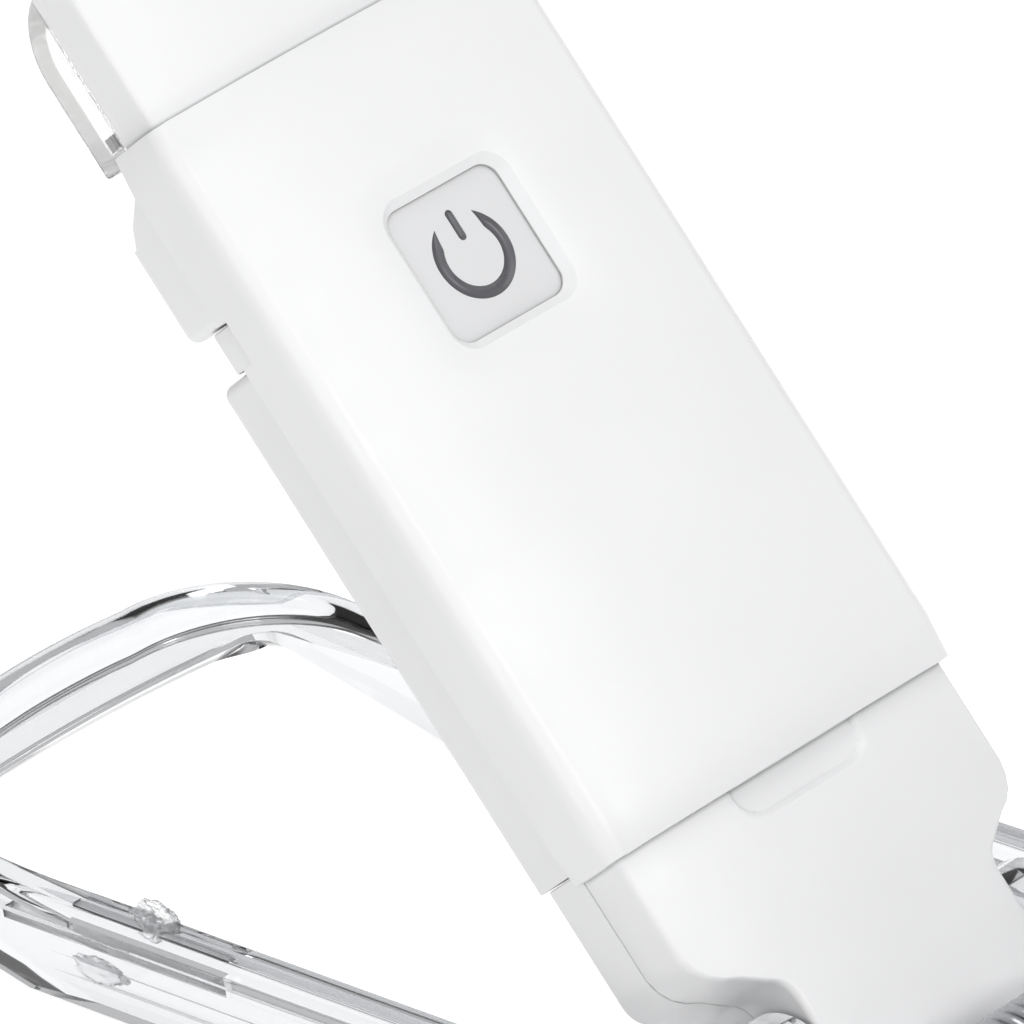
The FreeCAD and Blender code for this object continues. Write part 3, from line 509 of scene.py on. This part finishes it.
HINGE_DEPTH, HINGE_HEIGHT, KNUCKLE_RADIUS = 0.25, 65.2, 1.15
HEAD_PARTING = 0.25
HEAD_LOW, HEAD_HIGH, HEAD_CORNER = 66.64, 78.0, 2.0
CAP_HIGH = 17.36
END_MIDDLE, END_RADIUS = 0.2, 4.8    # the cap's round end
CAP_OUTLINE = (
    (8.7, 0), (8.7, 2.3), (8.7, 4.6), (8.8, 5.1), (9.02, 5.6), (9.4, 6.0), (9.9, 6.3), (10.65, 6.8),
    (11.4, 7.3), (12.3, 7.72), (13.05, 8.3), (13.55, 9.1), (13.8, 10), (13.8, 11), (13.8, 12), (13.8, 13))
RECESS_HALF, RECESS_LOW, RECESS_CORNER, RECESS_FLOOR = 5.4, 14.4, 2.0, -4.1


def section(half, plane):
    """Across the casing at one height, back to a plane: side, rounded edge, crowned face, mirrored."""
    reach = half - CORNER
    left = [(-half, y) for y in (plane, -0.6, -1.8)]
    for angle in spaced(180, 270, 6):
        turn = math.radians(angle)
        left.append((-reach + CORNER * math.cos(turn), crown(reach) + CORNER * (1 + math.sin(turn))))
    shares = spaced(0.94, 0.5, 6) + spaced(0.48, 0.02, 23)
    left += [(-reach * share, crown(reach * share)) for share in shares]
    return left + [(0, FRONT)] + [(-x, y) for x, y in reversed(left)]


def row_at(half, z, limit=-99.0, plane=PARTING):
    """One row of a skin; the limit is the foremost depth allowed there."""
    return [(x, min(plane, max(y, limit)), z) for x, y in section(half, plane)]


def skin_of(name, rows):
    """A walled piece over rows of points, ordered along the lamp."""
    width = len(rows[0])
    points = [lamp_point(*point) for row in rows for point in row]
    faces = []
    for row in range(len(rows) - 1):
        for start in range(row * width, (row + 1) * width - 1):
            faces.append((start, start + 1, start + width + 1, start + width))
    return walled(facing(cleaned(link_mesh(name, points, faces)), -BACK))


def turned_in(row):
    """A row drawn in to the parting plane, which closes a skin's end."""
    return [(x * END_SHARE, row[0][1], z) for x, _, z in row]


def roller(name, across, y, z, radius):
    """A plain cylinder along the lamp's width."""
    count = 24
    points = []
    for x in across:
        for i in range(count):
            turn = math.tau * i / count
            points.append(lamp_point(x, y + radius * math.cos(turn), z + radius * math.sin(turn)))
    ends = [tuple(range(count)), tuple(range(count, 2 * count))]
    return cleaned(link_mesh(name, points, ring_faces(0, count, count) + ends))


def make_head_shell():
    rows = [row_at(HALF, z, plane=HEAD_PARTING) for z in spaced(HEAD_LOW, HEAD_HIGH - HEAD_CORNER, 10)]
    for angle in spaced(0, 90, 12)[1:]:
        turn = math.radians(angle)
        rows.append(row_at(HALF, HEAD_HIGH - HEAD_CORNER * (1 - math.sin(turn)),
                           FRONT + HEAD_CORNER * (1 - math.cos(turn)), HEAD_PARTING))
    rows = [turned_in(rows[0])] + rows + [turned_in(rows[-1])]
    pieces = [applied(eased_edges(skin_of("head_skin", rows), CRISP, 2, 50.0))]
    for across in mirrored(LUG_IN, LUG_OUT):
        pieces.append(brick("lug", lamp_point, across, (-0.75, HINGE_DEPTH), (HINGE_HEIGHT, HEAD_LOW + 0.5)))
        pieces.append(roller("knuckle", across, HINGE_DEPTH, HINGE_HEIGHT, KNUCKLE_RADIUS))
    finished(joined("head_shell_visual", pieces), "head", ["head_shell"], "white_shell", 30.0)


def recessed(x, y, z):
    """A point of the cap's face, sunk where it lies in the thumb recess."""
    across, along = abs(x) - RECESS_HALF + RECESS_CORNER, RECESS_LOW + RECESS_CORNER - z
    inside = RECESS_CORNER - (math.hypot(across, along) if across > 0 and along > 0 else max(across, along))
    return x, y + max(0.0, RECESS_FLOOR - y) * ease(inside / 0.3), z


def make_cap_front():
    rows = []
    for angle in spaced(97, 0, 24):
        turn = math.radians(angle)
        depth = END_MIDDLE - END_RADIUS * math.cos(turn)
        rows.append(row_at(CAP_OUTLINE[0][0], -END_RADIUS * math.sin(turn), depth))
    rows += [row_at(half, z) for half, z in CAP_OUTLINE[1:]]
    rows += [[recessed(*point) for point in row_at(HALF, z)] for z in spaced(13.6, CAP_HIGH, 20)]
    rows.append(turned_in(rows[-1]))
    skin = applied(eased_edges(skin_of("cap_front_shell_visual", rows), CRISP, 2, 50.0))
    finished(skin, NODES["cap_front_shell"]["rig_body"], ["cap_front_shell"], "white_shell", 30.0)


# ---- button and its symbol ----

BUTTON_FACE = -4.35
BUTTON_BACK = -3.2
BUTTON_EDGE = 0.3
FLANGE_WIDTH, FLANGE_DEPTH = 0.7, 0.5
RING_OUT, RING_STROKE = 2.8, 0.8
RING_OPENING, RING_TAPER = 33, 30    # degrees from the opening's middle, and over which the ends thin out
TICK_LOW, TICK_HIGH, TICK_HALF = 1.0, 3.05, 0.28


def ring_width(angle):
    """Width of the ring at an angle from the opening's middle; it thins to a point beside the opening."""
    return RING_STROKE * math.sin(math.pi / 2 * min(1.0, (angle - RING_OPENING) / RING_TAPER + 0.02))


def ring_stations():
    """Inner and outer edge of the ring along its length."""
    stations = []
    for angle in spaced(RING_OPENING, 360 - RING_OPENING, 96):
        width = ring_width(min(angle, 360 - angle))
        turn = math.radians(angle)
        across, up = math.sin(turn), math.cos(turn)
        stations.append(tuple((radius * across, radius * up) for radius in (RING_OUT - width, RING_OUT)))
    return stations


def tick_stations():
    """Left and right edge of the tick along its length, round at both ends."""
    stations = []
    for share in spaced(0, 1, 24):
        height = TICK_LOW + (TICK_HIGH - TICK_LOW) * (1 - math.cos(math.pi * share)) / 2
        end = min(height - TICK_LOW, TICK_HIGH - height)
        half = TICK_HALF if end > TICK_HALF else math.sqrt(max(0.0, TICK_HALF ** 2 - (TICK_HALF - end) ** 2))
        half = max(half, 0.02)
        stations.append(((-half, height), (half, height)))
    return stations


def channel(name, stations, top, hollow, bottom):
    """A strip along stations, with a concave top that is deepest in its middle."""
    across = 8
    points, faces = [], []
    for (x0, z0), (x1, z1) in stations:
        length = math.hypot(x1 - x0, z1 - z0)
        for share in spaced(0, 1, across):
            bowl = hollow * length / RING_STROKE * (1 - (2 * share - 1) ** 2)
            points.append((x0 + (x1 - x0) * share, top + bowl, z0 + (z1 - z0) * share))
        first, last = points[-1 - across], points[-1]
        points += [(last[0], bottom, last[2]), (first[0], bottom, first[2])]
    size = across + 3
    for station in range(len(stations) - 1):
        faces += ring_faces(station * size, (station + 1) * size, size)
    faces += [tuple(range(size)), tuple(range((len(stations) - 1) * size, len(stations) * size))]
    placed = [lamp_point(x, y, BUTTON_HEIGHT + z) for x, y, z in points]
    return cleaned(link_mesh(name, placed, faces), 0.0005)


def make_button():
    flange = BUTTON_HALF + FLANGE_WIDTH
    rings = [(flange, BUTTON_BACK + FLANGE_DEPTH), (flange, BUTTON_BACK), (BUTTON_HALF, BUTTON_BACK),
             (BUTTON_HALF, BUTTON_FACE + BUTTON_EDGE)]
    for angle in spaced(0, 90, 6)[1:]:
        turn = math.radians(angle)
        rings.append((BUTTON_HALF - BUTTON_EDGE * (1 - math.cos(turn)),
                      BUTTON_FACE + BUTTON_EDGE * (1 - math.sin(turn))))
    points, faces = [], []
    for half, depth in rings:
        radius = BUTTON_RADIUS - (BUTTON_HALF - half)
        for i in range(ROUND):
            x, z = outline_point(half, radius, i / ROUND)
            points.append(lamp_point(x, depth, BUTTON_HEIGHT + z))
    for k in range(len(rings) - 1):
        faces += ring_faces(k * ROUND, (k + 1) * ROUND, ROUND)
    faces += [tuple(range(ROUND)), tuple(range((len(rings) - 1) * ROUND, len(rings) * ROUND))]
    cap = cleaned(link_mesh("button_cap_visual", points, faces))
    for name, stations in (("ring_room", ring_stations()), ("tick_room", tick_stations())):
        combined(cap, channel(name, stations, BUTTON_FACE - 0.5, 0.0, BUTTON_FACE + 0.34), "DIFFERENCE")
    finished(cap, "button", ["button_cap"], "white_button", 30.0)
    inlay = joined("button_symbol_visual", [
        channel("ring_inlay", ring_stations(), BUTTON_FACE + 0.03, 0.2, BUTTON_FACE + 0.33),
        channel("tick_inlay", tick_stations(), BUTTON_FACE + 0.03, 0.2, BUTTON_FACE + 0.33)])
    finished(inlay, "button", ["button_symbol"], "symbol_grey", 60.0)


# ---- jaws of the clip ----

CLIP_HALF, RAIL_WIDTH = 18.3, 2.0
UPPER_UNDER, UPPER_TOP = 5.32, 7.35
NOSE_UNDER, NOSE_TOP = 6.6, 9.8
NOSE_FAR, NOSE_RADIUS, NOSE_BOW, NOSE_BAR = 86.5, 10.6, 0.6, 2.0
CLIMB_START = 62.0
HOOP_START = 9.0
STRIP_EDGE = 0.12


def upper_top(y):
    rise = (NOSE_TOP - UPPER_TOP) / (NOSE_FAR - CLIMB_START) ** 2
    return UPPER_TOP + rise * max(0.0, y - CLIMB_START) ** 2


def upper_under(y):
    return UPPER_UNDER + (NOSE_UNDER - UPPER_UNDER) * ease((y - 61.0) / 13.0)


def loop_plan(half, far, radius):
    """Right half of a jaw's plan, from the rail forward and round to the centreline."""
    shoulder = far - NOSE_BOW
    plan = [(half, y) for y in spaced(HOOP_START, shoulder - radius, 26)]
    for angle in spaced(0, 90, 22)[1:]:
        turn = math.radians(angle)
        plan.append((half - radius + radius * math.cos(turn), shoulder - radius + radius * math.sin(turn)))
    for x in spaced(half - radius, 0, 8)[1:]:
        plan.append((x, shoulder + NOSE_BOW * (1 - (x / (half - radius)) ** 2)))
    return plan


def hoop():
    """The upper jaw's rails and rounded nose as one sweep, crisp on the rails and rounded at the nose."""
    outer = loop_plan(CLIP_HALF, NOSE_FAR, NOSE_RADIUS)
    inner = loop_plan(CLIP_HALF - RAIL_WIDTH, NOSE_FAR - NOSE_BAR, NOSE_RADIUS - 0.6)
    stations = list(zip(outer, inner))
    stations += [((-a[0], a[1]), (-b[0], b[1])) for a, b in reversed(stations[:-1])]
    points, faces = [], []
    corner_steps = 5
    for (ox, oy), (ix, iy) in stations:
        width = math.hypot(ox - ix, oy - iy)
        nose = ease((oy - 60.0) / 14.0)
        radii = [0.22 + 0.68 * nose] * 2 + [0.18 + 0.2 * nose] * 2
        top, under = upper_top(oy), upper_under(iy)
        corners = ((width, top, 0), (0, top, 90), (0, under, 180), (width, under, 270))
        for (across, height, first), radius in zip(corners, radii):
            centre = (across - radius if across else radius,
                      height - radius if first < 180 else height + radius)
            for angle in spaced(first, first + 90, corner_steps):
                turn = math.radians(angle)
                share = (centre[0] + radius * math.cos(turn)) / width
                points.append(row_point(ix + (ox - ix) * share, iy + (oy - iy) * share,
                                        centre[1] + radius * math.sin(turn)))
    size = 4 * (corner_steps + 1)
    for station in range(len(stations) - 1):
        faces += ring_faces(station * size, (station + 1) * size, size)
    faces += [tuple(range(size)), tuple(range((len(stations) - 1) * size, len(stations) * size))]
    return cleaned(link_mesh("hoop", points, faces))


def copied(node, name):
    """A free copy of a CAD node's mesh, with its flat faces whole again."""
    mesh = NODES[node].data.copy()
    mesh.name = name
    piece = link(name, mesh)
    shape = bmesh.new()
    shape.from_mesh(mesh)
    bmesh.ops.remove_doubles(shape, verts=shape.verts, dist=0.002 * MM)
    bmesh.ops.dissolve_limit(shape, angle_limit=math.radians(0.6), verts=shape.verts, edges=shape.edges)
    shape.to_mesh(mesh)
    shape.free()
    return piece


def make_upper_jaw():
    jaw = copied("upper_jaw", "upper_jaw_visual")
    eased_edges(jaw, 0.3)
    applied(jaw)
    combined(jaw, brick("ahead", row_point, (-30, 30), (12, 100), (-5, 30)), "DIFFERENCE")
    combined(jaw, hoop(), "UNION")
    for across in mirrored(CLIP_HALF - 1.6, CLIP_HALF - 0.4):
        seat = brick("seat", row_point, across, (50, 64), (4, UPPER_UNDER + 0.6))
        combined(jaw, seat, "DIFFERENCE")
    finished(jaw, "clip_upper", ["upper_jaw"], "clear_plastic", 35.0)


def lump(name, place, size, seed):
    """A rough blob of clear silicone, jagged where it was snipped."""
    shape = bmesh.new()
    bmesh.ops.create_icosphere(shape, subdivisions=5, radius=1.0)
    for vertex in shape.verts:
        way = vertex.co.normalized()
        swell = 1 + 0.34 * noise_at(way * 1.7 + Vector((seed, 0, 0)))
        swell += 0.16 * noise_at(way * 5.0 + Vector((0, seed, 0)))
        vertex.co = Vector(place) * MM + Vector([way[i] * size[i] * swell * MM for i in range(3)])
        vertex.co.x = max(-CLIP_HALF * MM, min(CLIP_HALF * MM, vertex.co.x))
    mesh = bpy.data.meshes.new(name)
    shape.to_mesh(mesh)
    shape.free()
    return link(name, mesh)


def strip(across, along, up):
    """A grip strip set into a rail."""
    return applied(eased_edges(brick("strip", row_point, across, along, up), STRIP_EDGE))


def make_grip_pads():
    uppers, lowers = [], []
    for side, across in zip((-1, 1), mirrored(CLIP_HALF - 1.58, CLIP_HALF - 0.42)):
        uppers.append(strip(across, (50.1, 63.9), (UPPER_UNDER - 0.04, 5.9)))
        lowers.append(strip(across, (50.1, 69.9), (4.52, 5.24)))
        on_top = (side * (CLIP_HALF - 1.0), 56.4, UPPER_TOP + 0.35)
        beside = (side * (CLIP_HALF - 0.25), 61.6, 3.1)
        uppers.append(lump("stud", on_top, (1.0, 1.75, 1.0), 3.7 + side))
        lowers.append(lump("stud", beside, (0.6, 2.3, 0.9), 8.1 + side))
    finished(joined("upper_grip_pads_visual", uppers), "clip_upper", ["upper_grip_pads"], "silicone", 60.0)
    finished(joined("lower_grip_pads_visual", lowers), "clip_base", ["lower_grip_pads"], "silicone", 60.0)


# ---- CAD nodes ----


def round_rim(piece, height, radius):
    """Rounds the edges round one end of a rear cover, all but the one on the parting plane."""
    shape = bmesh.new()
    shape.from_mesh(piece.data)
    places = {vertex: LAMP.inverted() @ vertex.co / MM for vertex in shape.verts}
    rim = [edge for edge in shape.edges if all(abs(places[vertex].z - height) < 0.02 for vertex in edge.verts)
           and max(places[vertex].y for vertex in edge.verts) > 1.0]
    bmesh.ops.bevel(shape, geom=rim, offset=radius * MM, offset_type="OFFSET", segments=5, profile=0.5,
                    affect="EDGES", clamp_overlap=True)
    shape.to_mesh(piece.data)
    shape.free()


def softened(node, width, rim=None):
    """The CAD node's own shape with its sharp edges rounded; stands for the node."""
    piece = copied(node, node + "_visual")
    if rim:
        round_rim(piece, rim, RIM_RADIUS)
    eased_edges(piece, width, angle=28.0).modifiers["rounding"].harden_normals = True
    return finished(piece, NODES[node]["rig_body"], [node], SLOT_OF[node])


for name, node in NODES.items():
    paint(node, SLOT_OF[name])
    smooth(node)

softened("lower_rear_cover", 0.1, GROOVE_LOW - GROOVE_GAP)
softened("upper_rear_cover", 0.1, GROOVE_HIGH + GROOVE_GAP)
softened("cap_rear_shell", 0.12)
softened("head_lens", 0.25)
softened("lower_jaw", 0.3)
make_front_shell()
make_head_shell()
make_cap_front()
make_button()
make_upper_jaw()
make_grip_pads()


# ---- stage, light and camera ----

LIT_POINT = Vector((0, 0.03, 0.03))
FLOOR_GAP = 0.0002       # metres under the clip, so that the two faces don't fight


def floor():
    bpy.ops.mesh.primitive_plane_add(size=6.0, location=(0, 0, cad_box[0][2] - FLOOR_GAP))
    plane = bpy.context.object
    plane.name = "floor"
    material, tree, shader = new_material("floor")
    shader.inputs["Base Color"].default_value = (0.5, 0.5, 0.5, 1)
    shader.inputs["Roughness"].default_value = 0.9
    shader.inputs["Emission Color"].default_value = (1, 1, 1, 1)
    shader.inputs["Emission Strength"].default_value = 0.78
    plane.data.materials.append(material)


def softbox(name, place, size, power):
    """A square area light, in metres and watts, turned to the middle of the lamp."""
    light = bpy.data.lights.new(name, "AREA")
    light.shape = "RECTANGLE"
    light.size, light.size_y = size, size
    light.energy = power
    box = link(name, light)
    box.location = place
    box.rotation_euler = (LIT_POINT - Vector(place)).to_track_quat("-Z", "Y").to_euler()


def world():
    """A white studio with a dark band round the horizon, which draws the lines in the clear plastic."""
    surround = bpy.data.worlds.new("studio")
    surround.use_nodes = True
    tree = surround.node_tree
    background = tree.nodes["Background"]
    background.inputs["Strength"].default_value = 0.56
    place = tree.nodes.new("ShaderNodeTexCoord")
    split = tree.nodes.new("ShaderNodeSeparateXYZ")
    height = tree.nodes.new("ShaderNodeMath")
    height.operation = "ABSOLUTE"
    tree.links.new(place.outputs["Generated"], split.inputs["Vector"])
    tree.links.new(split.outputs["Z"], height.inputs[0])
    light = remap(tree, height.outputs["Value"], 0.0, 1.0, 0.15, 0.4)
    tree.links.new(mix_colours(tree, light, (0.1, 0.1, 0.1), (1, 1, 1)), background.inputs["Color"])
    bpy.context.scene.world = surround


# The camera's own axes and place, which give the photograph's viewing angle.
RIGHT = Vector((0.7016, -0.6962, -0.1521))
UPWARD = Vector((0.4132, 0.2235, 0.8828))
TOWARD = Vector((-0.5806, -0.6822, 0.4445))
CAMERA_PLACE = Vector((-444.36, -484.56, 372.47)) * MM
FOCAL_PIXELS = 12900.0
FRAME_PIXELS = 1024.0


def camera():
    data = bpy.data.cameras.new("camera")
    data.sensor_width = 36.0
    data.lens = FOCAL_PIXELS / FRAME_PIXELS * data.sensor_width
    data.clip_start = 0.05
    data.clip_end = 20.0
    eye = link("camera", data)
    turn = Matrix((RIGHT, UPWARD, TOWARD)).transposed().to_4x4()
    turn.translation = CAMERA_PLACE
    eye.matrix_world = turn
    bpy.context.scene.camera = eye


camera()
floor()
world()
softbox("key", (0.03, -0.52, 0.38), 0.32, 1.25)
softbox("fill", (-0.5, -0.32, 0.36), 0.4, 0.9)
softbox("top", (0.0, -0.05, 0.8), 0.6, 1.9)

bpy.context.scene.view_settings.view_transform = "Standard"
